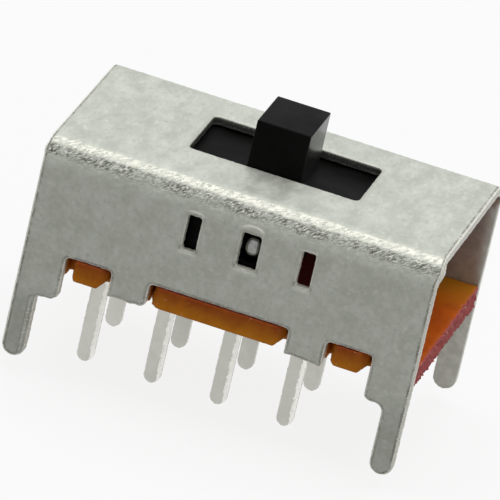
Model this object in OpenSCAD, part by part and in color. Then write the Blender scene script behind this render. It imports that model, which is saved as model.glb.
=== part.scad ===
// Slide switch for a circuit board: a folded steel cover frame, a board of eight
// terminals, and a moulded slider with two sprung contacts and a ball detent.
// X runs along the travel, Z up from the terminal tips, the origin under the middle.

/* [Cover frame] */
// Length of the folded cover frame
cover_length = 20.4; // [19.6:0.1:26]
// Width over the outside of the two walls
cover_width = 12.3; // [11.6:0.1:16]
// Height from the board seat to the outside of the top plate
cover_height = 8.1; // [6.7:0.1:11]
// Thickness of the steel sheet
sheet = 0.5; // [0.3:0.05:0.6]
// Outside radius of the two long bends
bend_radius = 1.45; // [0.7:0.05:1.8]
// Width of each corner leg
leg_width = 1.2; // [0.8:0.05:1.6]
// Reach of each leg below the board seat
leg_reach = 3.6; // [2:0.1:4.2]
// Fillet between a leg and its shoulder
leg_fillet = 0.4; // [0.1:0.05:0.6]

/* [Notches and tabs] */
// Height of the notches above the board seat
notch_height = 2.35; // [1.8:0.05:2.8]
// Width of the middle notch in each wall
middle_notch = 7.2; // [6:0.1:8.4]
// Width of the two outer notches in each wall
outer_notch = 2.35; // [1.8:0.05:2.8]
// Width of the two crimped tabs in each wall
tab_width = 2; // [1.4:0.05:2.4]
// Height of a tab's foot above the board seat
tab_lift = 1.05; // [0.8:0.05:1.2]
// Radius of the corners at the top of each notch
notch_round = 0.2; // [0.05:0.01:0.24]
// Radius of the tab and shoulder corners
tab_round = 0.35; // [0.1:0.05:0.6]
// Reach of a crimped lip under the base board
lip_reach = 0.4; // [0.2:0.05:0.6]

/* [Slot and windows] */
// Distance from the middle of the frame to the middle of the slot and the mechanism
works_shift = 0.25; // [0:0.05:0.4]
// Distance of the slot's middle towards the back wall
slot_setback = 0.5; // [0:0.05:0.8]
// Width of the slot across the travel
slot_width = 4.6; // [4:0.1:6]
// Corner radius of the slot
slot_corner = 0.3; // [0.1:0.05:0.8]
// Distance from the middle of the mechanism to the middle window
window_shift = 0.55; // [0:0.05:1.2]
// Height of each detent window
window_height = 1.9; // [1.4:0.1:2.2]
// Width of the middle window
middle_window = 1; // [0.8:0.05:1.2]
// Width of the two outer windows
outer_window = 0.7; // [0.5:0.05:1]
// Corner radius of the windows
window_corner = 0.12; // [0.05:0.01:0.2]

/* [Base board] */
// Thickness of the base board
board_thick = 1.1; // [0.8:0.05:1.2]
// Gap between a tenon and each side of its notch
tenon_gap = 0.15; // [0.15:0.05:0.3]
// Chamfer on the outer corners of each tenon
tenon_chamfer = 0.4; // [0.1:0.05:0.5]

/* [Terminals] */
// Spacing of the terminals along a row
pitch = 3.5; // [3.2:0.1:3.7]
// Spacing of the two rows
row_spacing = 4.8; // [3.8:0.05:5]
// Width of a terminal pin
pin_width = 0.72; // [0.5:0.02:0.9]
// Thickness of the terminal sheet
terminal_sheet = 0.45; // [0.3:0.05:0.5]
// Reach of the pins below the board seat
terminal_reach = 4.35; // [4.2:0.05:6]
// Length of a contact head along the row
head_length = 2.4; // [2:0.1:2.8]
// Width of a contact head across the row
head_width = 1.9; // [1.6:0.1:2.2]

/* [Slider] */
// Travel between two neighbouring positions
travel_step = 2.95; // [2.4:0.05:3.2]
// Length of the knob along the travel
knob_length = 2.8; // [2:0.05:3.4]
// Width of the knob across the travel
knob_width = 3.6; // [3:0.1:3.6]
// Height of the knob above the top plate
knob_height = 2.4; // [1:0.1:6]
// Radius of the knob edges
knob_edge = 0.1; // [0.05:0.01:0.3]
// Thickness of the flange under the slot
flange_thick = 0.9; // [0.6:0.1:1.2]
// Wall of the carriage past its pockets and its bore
carriage_wall = 0.6; // [0.4:0.1:0.8]

/* [Contacts] */
// Width of a sliding contact
contact_width = 1.4; // [1:0.1:1.5]
// Thickness of the contact strip
strip = 0.2; // [0.15:0.01:0.25]
// Outside radius of a contact foot
foot_radius = 0.45; // [0.35:0.05:0.6]
// Length of the contact past each foot
contact_tail = 0.65; // [0.4:0.05:0.8]
// Length of a contact spring as fitted
contact_spring_length = 1.9; // [1.6:0.1:2.2]

/* [Detent and springs] */
// Diameter of the detent balls
ball_diameter = 1.5; // [1.2:0.1:1.6]
// Mean diameter of every spring
spring_diameter = 1.06; // [0.8:0.02:1.1]
// Wire diameter of every spring
spring_wire = 0.18; // [0.12:0.01:0.2]
// Turns of a contact spring
contact_turns = 5; // [4:1:6]
// Turns of the detent spring
detent_turns = 14; // [10:1:16]

/* [Clearances] */
// Gap at each fit between fixed pieces
fit_gap = 0.02; // [0.01:0.01:0.05]
// Gap between the knob and each end of the slot at the end of the travel
end_gap = 0.05; // [0.02:0.01:0.1]
// Gap between the knob and the front edge of the slot
front_gap = 0.1; // [0.08:0.01:0.2]
// Gap between the slider and what it slides along
slide_gap = 0.1; // [0.05:0.01:0.15]
// Gap between the slider carriage and each wall
guide_gap = 0.15; // [0.1:0.01:0.2]
// Gap between the carriage foot and the contact heads
carriage_lift = 0.25; // [0.15:0.05:0.4]
// Room for a sliding contact to lift in its pocket
lift_room = 0.35; // [0.2:0.05:0.5]
// Radial gap around the balls and the springs
bore_gap = 0.05; // [0.03:0.01:0.08]

/* [Hidden] */
terminals = 4;        // terminals in each row

$fn = 48;
through = 1;          // how far a cutting shape runs past what it cuts
coil_steps = 16;      // rings in one turn of a spring
wire_sides = 8;       // sides of a spring's wire
close_pitch = 1.05;   // pitch of a closed end turn, in wire diameters

// Heights, from the terminal tips
seat_z = terminal_reach;
top_z = seat_z + cover_height;
ceiling_z = top_z - sheet;
notch_top_z = seat_z + notch_height;
tab_foot_z = seat_z + tab_lift;
board_top_z = notch_top_z - fit_gap;
board_foot_z = board_top_z - board_thick;
head_top_z = board_top_z + terminal_sheet;
foot_centre_z = head_top_z + fit_gap + foot_radius;
contact_top_z = foot_centre_z + strip;
carriage_foot_z = head_top_z + carriage_lift;
flange_top_z = ceiling_z - slide_gap;
flange_foot_z = flange_top_z - flange_thick;
detent_z = flange_foot_z - slide_gap / 2 - window_height / 2;

// Places along the travel, from the middle of the frame
bay_width = middle_notch + 2 * tab_width + 2 * outer_notch;
outer_notch_x = (bay_width - outer_notch) / 2;
tab_x = (middle_notch + tab_width) / 2;
contact_x = works_shift - pitch / 2;
detent_x = works_shift + window_shift;
contact_length = pitch + 2 * (foot_radius - strip + contact_tail);
corner_span = slot_corner - knob_edge;
corner_room = corner_span < front_gap ? 0    // end room that keeps the knob off a slot corner
    : corner_span - sqrt(pow(corner_span - fit_gap, 2) - pow(corner_span - front_gap, 2));
slot_length = knob_length + 2 * travel_step + 2 * max(end_gap, corner_room);
flange_length = cover_length - 2 * travel_step - slide_gap;

// Places across the travel, from the middle of the frame
inner_half = cover_width / 2 - sheet;
pin_inner_y = (row_spacing - terminal_sheet) / 2;
contact_y = pin_inner_y + head_width / 2;
knob_y = slot_setback - slot_width / 2 + front_gap + knob_width / 2;
carriage_half = inner_half - guide_gap;
flange_half = inner_half - (bend_radius - sheet) - slide_gap;

// Detent, from the walls inwards
ball_radius = ball_diameter / 2;
bore_radius = ball_radius + bore_gap;
ball_y = inner_half - fit_gap - ball_radius;
spring_end_y = ball_y + spring_wire / 2
    - sqrt(pow(ball_radius + spring_wire / 2, 2) - pow(spring_diameter / 2, 2));
spring_bore = (spring_diameter + spring_wire) / 2 + bore_gap;

// Rectangle with four round corners, centred
module rounded_rect(size, radius) {
    square([size.x - 2 * radius, size.y], center = true);
    square([size.x, size.y - 2 * radius], center = true);
    for (sx = [-1, 1], sy = [-1, 1])
        translate([sx * (size.x / 2 - radius), sy * (size.y / 2 - radius)]) circle(radius);
}

// Upright rectangle with two round top corners, centred across
module arched_rect(width, foot, top, radius) {
    translate([-width / 2, foot]) square([width, top - radius - foot]);
    translate([-(width / 2 - radius), foot]) square([width - 2 * radius, top - foot]);
    for (s = [-1, 1]) translate([s * (width / 2 - radius), top - radius]) circle(radius);
}

// Corner piece that fills an inside corner or rounds an outside one
module spandrel(radius) {
    difference() {
        square(radius);
        translate([radius, radius]) circle(radius);
    }
}

// A shape drawn in X and Z, given a depth along Y about the middle
module along_y(depth) {
    rotate([90, 0, 0]) linear_extrude(depth, center = true) children();
}

// A shape drawn in Y and Z, given a length along X about the middle
module along_x(length) {
    rotate([90, 0, 90]) linear_extrude(length, center = true) children();
}

// Puts a piece on the front wall's side, or its mirror image on the back wall's
module on_side(side) {
    if (side == "front") mirror([0, 1, 0]) children();
    else children();
}

// Outline of both walls: corner legs, shoulders, notches and tabs
module wall_outline() {
    leg_x = (cover_length - leg_width) / 2;
    leg_foot_z = seat_z - leg_reach;
    difference() {
        union() {
            translate([-cover_length / 2, seat_z]) square([cover_length, cover_height]);
            for (s = [0, 1]) mirror([s, 0]) {
                translate([leg_x, leg_foot_z + leg_width / 2]) circle(leg_width / 2);
                translate([leg_x - leg_width / 2, leg_foot_z + leg_width / 2])
                    square([leg_width, leg_reach]);
                translate([leg_x - leg_width / 2, seat_z]) rotate(180) spandrel(leg_fillet);
            }
        }
        translate([-bay_width / 2, seat_z - through]) square([bay_width, tab_lift + through]);
        arched_rect(middle_notch, seat_z, notch_top_z, notch_round);
        for (s = [0, 1]) mirror([s, 0]) {
            translate([outer_notch_x, 0])
                arched_rect(outer_notch, seat_z, notch_top_z, notch_round);
            translate([bay_width / 2, seat_z]) spandrel(tab_round);
            translate([tab_x, tab_foot_z]) for (t = [0, 1]) mirror([t, 0])
                translate([-tab_width / 2, 0]) spandrel(tab_round);
        }
    }
}

// Three openings in each wall, one at each position of the balls
module detent_windows() {
    for (step = [-1 : 1]) translate([detent_x + step * travel_step, detent_z])
        rounded_rect([step == 0 ? middle_window : outer_window, window_height], window_corner);
}

// Lip coined inwards from the foot of a tab, under the edge of the base board
module crimp_lip() {
    lip_width = tab_width - 2 * tab_round;
    along_x(lip_width) polygon([
        [inner_half + sheet / 2, tab_foot_z],
        [inner_half, tab_foot_z],
        [inner_half - lip_reach, (tab_foot_z + board_foot_z) / 2],
        [inner_half - lip_reach, board_foot_z - fit_gap],
        [inner_half + sheet / 2, board_foot_z - fit_gap]
    ]);
}

// Folded sheet: top plate and two walls, open at both ends
module cover_frame() {
    color("#c3c6bc") {
        difference() {
            intersection() {
                along_x(cover_length) difference() {
                    arched_rect(cover_width, 0, top_z, bend_radius);
                    arched_rect(2 * inner_half, -through, ceiling_z, bend_radius - sheet);
                }
                along_y(cover_width + through) wall_outline();
            }
            along_y(cover_width + through) detent_windows();
            translate([works_shift, slot_setback, ceiling_z - sheet / 2])
                linear_extrude(2 * sheet) rounded_rect([slot_length, slot_width], slot_corner);
        }
        for (side = ["front", "back"], s = [-1, 1]) on_side(side)
            translate([s * tab_x, 0, 0]) crimp_lip();
    }
}

// One tenon of the base board, with its outer corners chamfered in plan
module tenon(notch) {
    half = notch / 2 - tenon_gap;
    reach = sheet;
    polygon([
        [-half, -sheet], [half, -sheet], [half, reach - tenon_chamfer],
        [half - tenon_chamfer, reach], [-half + tenon_chamfer, reach], [-half, reach - tenon_chamfer]
    ]);
}

// Terminal board: it fills the foot of the frame, with a tenon in every notch
module base_board() {
    color("#8a4a16") translate([0, 0, board_foot_z]) difference() {
        linear_extrude(board_thick) {
            square([cover_length, 2 * (inner_half - fit_gap)], center = true);
            for (s = [0, 1]) mirror([0, s]) translate([0, inner_half]) {
                tenon(middle_notch);
                for (x = [-1, 1]) translate([x * outer_notch_x, 0]) tenon(outer_notch);
            }
        }
        for (i = [1 : terminals], s = [-1, 1])
            translate([terminal_x(i), s * row_spacing / 2, board_thick / 2])
                cube([pin_width + 2 * fit_gap, terminal_sheet + 2 * fit_gap,
                      board_thick + through], center = true);
    }
}

// Place of a terminal along its row, with the sliding contact midway between two of them
function terminal_x(i) = works_shift + (i - 1 - terminals / 2) * pitch;

// Stamped terminal: a contact head bent flat on the board, and a pin with a round tip
module terminal(side, i) {
    color("#b4b6ac") on_side(side) translate([terminal_x(i), pin_inner_y, 0]) {
        translate([0, terminal_sheet / 2, 0]) along_y(terminal_sheet) {
            translate([0, pin_width / 2]) circle(pin_width / 2);
            translate([-pin_width / 2, pin_width / 2])
                square([pin_width, board_top_z - pin_width / 2]);
        }
        along_x(pin_width) difference() {
            translate([0, board_top_z - fit_gap])
                square([2 * terminal_sheet, terminal_sheet + fit_gap]);
            translate([terminal_sheet, board_top_z - fit_gap])
                square([terminal_sheet, fit_gap]);
            translate([0, head_top_z]) mirror([0, 1]) spandrel(terminal_sheet);
        }
        translate([0, head_width / 2 + terminal_sheet / 2, board_top_z])
            linear_extrude(terminal_sheet)
                rounded_rect([head_length, head_width - terminal_sheet], terminal_sheet / 2);
    }
}

// Knob that stands through the slot, with every free edge rounded
module knob() {
    knob_top_z = top_z + knob_height;
    intersection() {
        translate([0, 0, flange_foot_z]) linear_extrude(knob_top_z - flange_foot_z)
            rounded_rect([knob_length, knob_width], knob_edge);
        along_y(knob_width) arched_rect(knob_length, flange_foot_z, knob_top_z, knob_edge);
        along_x(knob_length) arched_rect(knob_width, flange_foot_z, knob_top_z, knob_edge);
    }
}

// Pocket in the carriage's foot for a sliding contact, and the bore for its spring
module contact_pocket() {
    pocket_top_z = contact_top_z + lift_room;
    translate([contact_x, contact_y, 0]) {
        translate([0, 0, carriage_foot_z - through])
            linear_extrude(pocket_top_z - carriage_foot_z + through)
                square([contact_length + 2 * slide_gap, contact_width + 2 * slide_gap],
                       center = true);
        translate([0, 0, carriage_foot_z])
            cylinder(r = spring_bore, h = contact_top_z + contact_spring_length - carriage_foot_z);
    }
}

// Moulded slider: knob, flange under the slot, and the carriage between the walls
module slider() {
    carriage_left = contact_x - contact_length / 2 - slide_gap - carriage_wall;
    carriage_right = detent_x + bore_radius + carriage_wall;
    color("#202020") difference() {
        union() {
            translate([works_shift, knob_y, 0]) knob();
            translate([0, 0, flange_foot_z]) linear_extrude(flange_thick)
                rounded_rect([flange_length, 2 * flange_half], knob_edge);
            translate([carriage_left, -carriage_half, carriage_foot_z])
                cube([carriage_right - carriage_left, 2 * carriage_half,
                      flange_foot_z - carriage_foot_z]);
        }
        translate([detent_x, 0, detent_z]) rotate([90, 0, 0])
            cylinder(r = bore_radius, h = cover_width, center = true);
        for (side = ["front", "back"]) on_side(side) contact_pocket();
    }
}

// Sliding contact: a strip with two round feet that bridge neighbouring terminals
module contact_bridge(side) {
    bar_half = contact_length / 2;
    color("#b98a4e") on_side(side) translate([contact_x, contact_y, foot_centre_z])
        along_y(contact_width) {
            for (s = [-1, 1]) translate([s * pitch / 2, 0]) difference() {
                circle(foot_radius);
                circle(foot_radius - strip);
                translate([-foot_radius, 0]) square([2 * foot_radius, foot_radius]);
            }
            difference() {
                translate([-bar_half, 0]) square([2 * bar_half, strip]);
                for (s = [-1, 1]) translate([s * pitch / 2 - (foot_radius - strip), -strip])
                    square([2 * (foot_radius - strip), 3 * strip]);
            }
        }
}

// Wire coil about the Z axis, standing on z = 0, with one closed turn at each end
module coil(length, turns) {
    mean = spring_diameter / 2;
    thick = spring_wire / 2;
    close = close_pitch * spring_wire;
    open = (length - spring_wire - 2 * close) / (turns - 2);
    last = turns * coil_steps;
    function height(t) = thick + close * min(t, 1) + open * max(min(t, turns - 1) - 1, 0)
        + close * max(t - turns + 1, 0);
    points = [for (i = [0 : last], j = [0 : wire_sides - 1])
        let (a = 360 * i / coil_steps, b = 360 * j / wire_sides, r = mean + thick * cos(b))
        [r * cos(a), r * sin(a), height(i / coil_steps) + thick * sin(b)]];
    walls = [for (i = [0 : last - 1], j = [0 : wire_sides - 1])
        let (k = (j + 1) % wire_sides, a = i * wire_sides, b = a + wire_sides)
        [a + j, b + j, b + k, a + k]];
    start = [for (j = [0 : wire_sides - 1]) j];
    end = [for (j = [wire_sides - 1 : -1 : 0]) last * wire_sides + j];
    polyhedron(points, concat(walls, [start, end]));
}

// Spring that presses a sliding contact onto the contact heads
module contact_spring(side) {
    color("#c9ccd0") on_side(side) translate([contact_x, contact_y, contact_top_z + fit_gap])
        coil(contact_spring_length - 2 * fit_gap, contact_turns);
}

// Spring in the cross bore that presses both balls outwards
module detent_spring() {
    color("#c9ccd0") translate([detent_x, -spring_end_y, detent_z]) rotate([-90, 0, 0])
        coil(2 * spring_end_y, detent_turns);
}

// Steel ball held between the spring and a wall, behind the middle window at rest
module detent_ball(side) {
    color("#d6d8d8") on_side(side) translate([detent_x, ball_y, detent_z])
        sphere(r = ball_radius);
}

cover_frame();
base_board();
slider();
detent_spring();
for (side = ["front", "back"]) {
    detent_ball(side);
    contact_bridge(side);
    contact_spring(side);
    for (i = [1 : terminals])
        terminal(side, i);
}
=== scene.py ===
import math
from functools import reduce

import bmesh
import bpy
import numpy as np
from mathutils import Matrix, Vector, kdtree, noise
from mathutils.geometry import delaunay_2d_cdt


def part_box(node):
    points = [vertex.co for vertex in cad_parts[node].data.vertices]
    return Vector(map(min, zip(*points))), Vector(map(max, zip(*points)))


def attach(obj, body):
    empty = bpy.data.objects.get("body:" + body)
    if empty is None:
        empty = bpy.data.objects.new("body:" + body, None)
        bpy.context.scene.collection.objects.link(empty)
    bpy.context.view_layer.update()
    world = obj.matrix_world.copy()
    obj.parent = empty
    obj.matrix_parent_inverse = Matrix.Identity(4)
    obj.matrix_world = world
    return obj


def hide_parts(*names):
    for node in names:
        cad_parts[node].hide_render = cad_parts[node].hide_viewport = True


mm = 0.001
mergeDistance = 2e-7     # metres, for points that the CAD export wrote twice
onFace = 0.004           # mm, how close to a face a point counts as on it
byFace = 0.02            # and as beside it
nearFace = 0.04          # and as near it

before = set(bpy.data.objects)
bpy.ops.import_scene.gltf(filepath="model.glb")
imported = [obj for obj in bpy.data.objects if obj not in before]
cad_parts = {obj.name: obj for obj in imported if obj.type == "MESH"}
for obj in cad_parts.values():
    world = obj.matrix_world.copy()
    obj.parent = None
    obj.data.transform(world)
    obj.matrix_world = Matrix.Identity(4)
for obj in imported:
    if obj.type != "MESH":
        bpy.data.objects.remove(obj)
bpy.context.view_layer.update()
print("frame loaded,", len(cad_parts), "CAD parts")


# Camera, floor and lamps

cameraView = {
    "azimuth": 11.14,        # degrees round from the front, to the right
    "elevation": 24.16,
    "roll": 13.25,           # degrees, the camera turned about its own axis
    "focal": 10230.0,        # focal length, where the frame is imageWidth wide
    "perMillimetre": 20.34,  # how long 1 mm of the object is there
    "aimHeight": 7.35,       # mm
    "shiftRight": 0.342,     # mm, from the aim point to the middle of the frame
    "shiftDown": 0.077,
    "imageWidth": 500,
    "sensorWidth": 36.0,
    "clips": (0.1, 20),      # nearest and farthest, as shares of the distance
}

studio = {
    "floorSize": 4.0,        # metres
    "floorColour": (0.11, 0.1105, 0.11, 1),
    "floorSeen": 0.853,      # what the floor gives back where the camera or a mirror looks at it
    "floorGlow": 0.155,      # and what it gives back to the sides of the object
    "skyColour": (0.98, 0.99, 1.0, 1),
    "skyLight": 0.45,
    "skySeen": 0.96,
    "lampHeight": 0.25,
    "lampSize": 0.30,
    "lampBack": 0.05,        # how far behind the object the lamp hangs
    "lampPower": 0.50,       # watts
}


def makeCamera():
    azimuth, elevation, roll = (math.radians(cameraView[k]) for k in ("azimuth", "elevation", "roll"))
    back = Vector((math.sin(azimuth) * math.cos(elevation),
                   -math.cos(azimuth) * math.cos(elevation), math.sin(elevation)))
    right = Vector((0, 0, 1)).cross(back).normalized()
    upward = back.cross(right)
    axisX = math.cos(roll) * right + math.sin(roll) * upward
    axisY = math.cos(roll) * upward - math.sin(roll) * right
    away = cameraView["focal"] / cameraView["perMillimetre"]
    place = (Vector((0, 0, cameraView["aimHeight"])) - cameraView["shiftRight"] * axisX
             + cameraView["shiftDown"] * axisY + away * back)
    data = bpy.data.cameras.new("productCamera")
    data.sensor_width = cameraView["sensorWidth"]
    data.lens = cameraView["focal"] * data.sensor_width / cameraView["imageWidth"]
    data.clip_start, data.clip_end = (away * mm * share for share in cameraView["clips"])
    camera = bpy.data.objects.new("productCamera", data)
    camera.matrix_world = Matrix.Translation(place * mm) @ Matrix((axisX, axisY, back)).transposed().to_4x4()
    bpy.context.scene.collection.objects.link(camera)
    bpy.context.scene.camera = camera


bench = {}      # holds the node tree that is being built


def fill(node, inputs):         # links what another node gives, and sets the rest
    for key, value in inputs.items():
        if isinstance(value, bpy.types.NodeSocket):
            bench["tree"].links.new(value, node.inputs[key])
        else:
            node.inputs[key].default_value = value


def addNode(kind, inputs=None, **settings):
    made = bench["tree"].nodes.new(kind)
    for key, value in settings.items():
        setattr(made, key, value)
    fill(made, inputs or {})
    return made


def nodeOut(kind, inputs=None, **settings):
    return addNode(kind, inputs, **settings).outputs[0]


def calc(operation, *values, clamp=False):
    return nodeOut("ShaderNodeMath", dict(enumerate(values)), operation=operation, use_clamp=clamp)


def chained(operation):         # one math node for two values, a chain of them for more
    return lambda *values: reduce(lambda first, second: calc(operation, first, second), values)


plus, minus, times, smaller, larger = map(chained, ("ADD", "SUBTRACT", "MULTIPLY", "MINIMUM", "MAXIMUM"))


def openNodes(owner, keep=False):       # the floor's, the sky's or a finish's nodes are built next
    owner.use_nodes = True
    bench["tree"] = owner.node_tree
    if not keep:
        owner.node_tree.nodes.clear()
    return owner


def strengthOf(unseen, seen):   # what lights the object, and what camera, glossy and transmission rays see
    path = addNode("ShaderNodeLightPath").outputs
    mirrored = larger(path["Is Glossy Ray"], path["Is Transmission Ray"])
    return plus(times(larger(path["Is Camera Ray"], mirrored), seen - unseen), unseen)


def makeFloor():
    material = openNodes(bpy.data.materials.new("paleFloor"))
    surface = nodeOut("ShaderNodeBsdfDiffuse", {"Color": studio["floorColour"]})
    glow = nodeOut("ShaderNodeEmission", {"Strength": strengthOf(studio["floorGlow"], studio["floorSeen"])})
    both = nodeOut("ShaderNodeAddShader", {0: surface, 1: glow})
    addNode("ShaderNodeOutputMaterial", {"Surface": both})
    mesh = bpy.data.meshes.new("floor")
    half = studio["floorSize"] / 2
    corners = [(x * half, y * half, 0) for x, y in ((-1, -1), (1, -1), (1, 1), (-1, 1))]
    mesh.from_pydata(corners, [], [range(len(corners))])
    mesh.materials.append(material)
    floor = bpy.data.objects.new("floor", mesh)
    bpy.context.scene.collection.objects.link(floor)


def makeSky():
    world = openNodes(bpy.data.worlds.new("studioSky"))
    strength = strengthOf(studio["skyLight"], studio["skySeen"])
    sky = nodeOut("ShaderNodeBackground", {"Color": studio["skyColour"], "Strength": strength})
    addNode("ShaderNodeOutputWorld", {"Surface": sky})
    bpy.context.scene.world = world


def makeLamp():
    data = bpy.data.lights.new("overheadLamp", "AREA")
    data.shape, data.size, data.energy = "SQUARE", studio["lampSize"], studio["lampPower"]
    lamp = bpy.data.objects.new("overheadLamp", data)
    lamp.location = (0, studio["lampBack"], studio["lampHeight"])
    bpy.context.scene.collection.objects.link(lamp)


bpy.context.scene.view_settings.view_transform = "Standard"
makeCamera()
makeFloor()
makeSky()
makeLamp()
print("camera, floor and lamp placed")


# Material helpers, in millimetres

usualNoise = (0.3, 0.7)         # where most of a noise lies


def newMaterial(name):
    return openNodes(bpy.data.materials.new(name), keep=True)


def finished(material, inputs):         # gives the finish its colour, roughness and the rest
    fill(material.node_tree.nodes["Principled BSDF"], inputs)
    return material


def placeInMm(turn=(0, 0, 0), stretch=(1, 1, 1), attribute=None):
    if attribute:
        source = addNode("ShaderNodeAttribute", attribute_name=attribute).outputs["Vector"]
        scale = stretch
    else:
        source = addNode("ShaderNodeTexCoord").outputs["Object"]
        scale = [s / mm for s in stretch]
    mapped = nodeOut("ShaderNodeMapping", {"Vector": source, "Rotation": turn}, vector_type="POINT")
    return nodeOut("ShaderNodeVectorMath", {0: mapped, 1: scale}, operation="MULTIPLY")


def noiseAt(place, size, detail, rough):                # size in mm
    return nodeOut("ShaderNodeTexNoise", {"Vector": place, "Scale": 1 / size, "Detail": detail,
                                          "Roughness": rough})


def cellsAt(place, size, feature="F1"):
    inputs = {"Vector": place, "Scale": 1 / size}
    return addNode("ShaderNodeTexVoronoi", inputs, feature=feature).outputs["Distance"]


def spread(value, fromLow, fromHigh, toLow=0.0, toHigh=1.0):
    return nodeOut("ShaderNodeMapRange", {"Value": value, "From Min": fromLow, "From Max": fromHigh,
                                          "To Min": toLow, "To Max": toHigh}, interpolation_type="SMOOTHSTEP")


def spotsAt(place, size, detail, rough, *limits):       # a noise brought between limits
    return spread(noiseAt(place, size, detail, rough), *limits)


def waverAt(place, amount, *noiseSizes):                # a noise about zero
    return times(minus(noiseAt(place, *noiseSizes), 0.5), amount)


def bandOf(value, start, full, fading, end):            # 1 between two limits, fading beyond them
    return times(spread(value, start, full), spread(value, end, fading))


def blend(share, first, second):                        # between two colours
    return addNode("ShaderNodeMix", {0: share, 6: first, 7: second}, data_type="RGBA").outputs[2]


def between(share, first, second):                      # between two numbers
    return nodeOut("ShaderNodeMix", {0: share, 2: first, 3: second})


def layered(colour, *layers):                           # each layer is how much shows, and its colour
    return reduce(lambda under, layer: blend(layer[0], under, layer[1]), layers, colour)


def marked(name):                                       # a number stored on the mesh
    return addNode("ShaderNodeAttribute", attribute_name=name).outputs["Fac"]


def bump(height, distance, under=None):                 # distance in mm
    inputs = {"Height": height, "Distance": distance * mm}
    return nodeOut("ShaderNodeBump", {**inputs, "Normal": under} if under else inputs)


# Sheets with worked edges: outlines, rings round each edge, and a filled face on both sides

sheetWork = {
    "cornerEase": 0.7,       # how tight an outer corner the rings follow in full
    "leastEase": 0.12,
    "easeGrowth": 1.25,      # from one point of an outline to the next
    "rimGap": 0.6,           # points of the filling stay this share of a step off the outline
    "rollEnds": (0.3, 0.2),  # shares of the thickness where the rounding of the outer edge ends
}


def smoothStep(low, high, value):       # low may be above high, for a step down
    share = min(max((value - low) / (high - low), 0.0), 1.0)
    return share * share * (3 - 2 * share)


def cadCopy(nodeName):          # a merged copy of a CAD node's mesh
    shape = bmesh.new()
    shape.from_mesh(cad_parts[nodeName].data)
    bmesh.ops.remove_doubles(shape, verts=shape.verts, dist=mergeDistance)
    return shape


def outlinesOf(shape, isOnFace, flatten):
    # closed outlines of the faces that isOnFace picks, as flat points in mm with the sheet on their left
    picked = {f: True for f in shape.faces if isOnFace(f)}      # kept in order, so that each run is the same
    following = {}
    for face in picked:
        for corner in face.loops:
            if sum(f in picked for f in corner.edge.link_faces) == 1:
                following[corner.vert] = corner.link_loop_next.vert
    outlines = []
    while following:
        start, step = next(iter(following.items()))
        outline = [start]
        del following[start]
        while step is not start:
            outline.append(step)
            step = following.pop(step)
        outlines.append(np.array([flatten(v.co / mm) for v in outline]))
    return sorted(outlines, key=lambda o: -np.ptp(o[:, 0]) * np.ptp(o[:, 1]))


def evenlySpaced(outline, step, rounds=2):
    # more points on long edges, then corners of coarse arcs eased
    points = []
    for start, end in zip(outline, np.roll(outline, -1, axis=0)):
        parts = max(1, math.ceil(np.linalg.norm(end - start) / step))
        points += [start + (end - start) * k / parts for k in range(parts)]
    points = np.array(points)
    for _ in range(rounds):
        points = (np.roll(points, 1, axis=0) + 2 * points + np.roll(points, -1, axis=0)) / 4
    return points


def outwardOf(outline):
    along = np.roll(outline, -1, axis=0) - np.roll(outline, 1, axis=0)
    along /= np.linalg.norm(along, axis=1)[:, None]
    return np.column_stack([along[:, 1], -along[:, 0]])


def easeOf(outline, reach):
    # 1 where an inset of this reach fits, less on outer corners that are tighter than it
    before, after = outline - np.roll(outline, 1, axis=0), np.roll(outline, -1, axis=0) - outline
    cross = before[:, 0] * after[:, 1] - before[:, 1] * after[:, 0]
    along, ahead = np.linalg.norm(before, axis=1), np.linalg.norm(after, axis=1)
    turning = np.arcsin(np.clip(cross / (along * ahead), -1, 1)) / ((along + ahead) / 2)
    ease = np.clip(sheetWork["cornerEase"] / np.maximum(turning * reach, onFace), sheetWork["leastEase"], 1)
    for _ in range(3):
        ease = np.minimum(ease, np.minimum(np.roll(ease, 1), np.roll(ease, -1)) * sheetWork["easeGrowth"])
    for _ in range(2):
        ease = (np.roll(ease, 1) + ease + np.roll(ease, -1)) / 3
    return ease


def insideOf(points, outlines):
    inside = np.zeros(len(points), bool)
    x, y = points[:, 0], points[:, 1]
    for outline in outlines:
        for (x0, y0), (x1, y1) in zip(outline, np.roll(outline, -1, axis=0)):
            if y0 != y1:
                inside ^= ((y0 > y) != (y1 > y)) & (x < x0 + (y - y0) * (x1 - x0) / (y1 - y0))
    return inside


def latticeIn(outlines, fine, coarse, isFine):
    # points inside the outlines: every fine step where isFine says so, every coarse step elsewhere
    rim = np.vstack(outlines)
    tree = kdtree.KDTree(len(rim))
    for i, point in enumerate(rim):
        tree.insert((*point, 0), i)
    tree.balance()
    skip = max(1, round(coarse / fine))
    low, high = rim.min(0), rim.max(0)
    points = []
    for i in range(int((high[0] - low[0]) / fine) + 1):
        for j in range(int((high[1] - low[1]) / fine) + 1):
            u, v = low[0] + i * fine, low[1] + j * fine
            if i % skip == 0 and j % skip == 0 or isFine(u, v):
                points.append((u, v))
    points = np.array(points)
    points = points[insideOf(points, outlines)]
    return np.array([p for p in points if tree.find((*p, 0))[2] > sheetWork["rimGap"] * fine])


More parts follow.
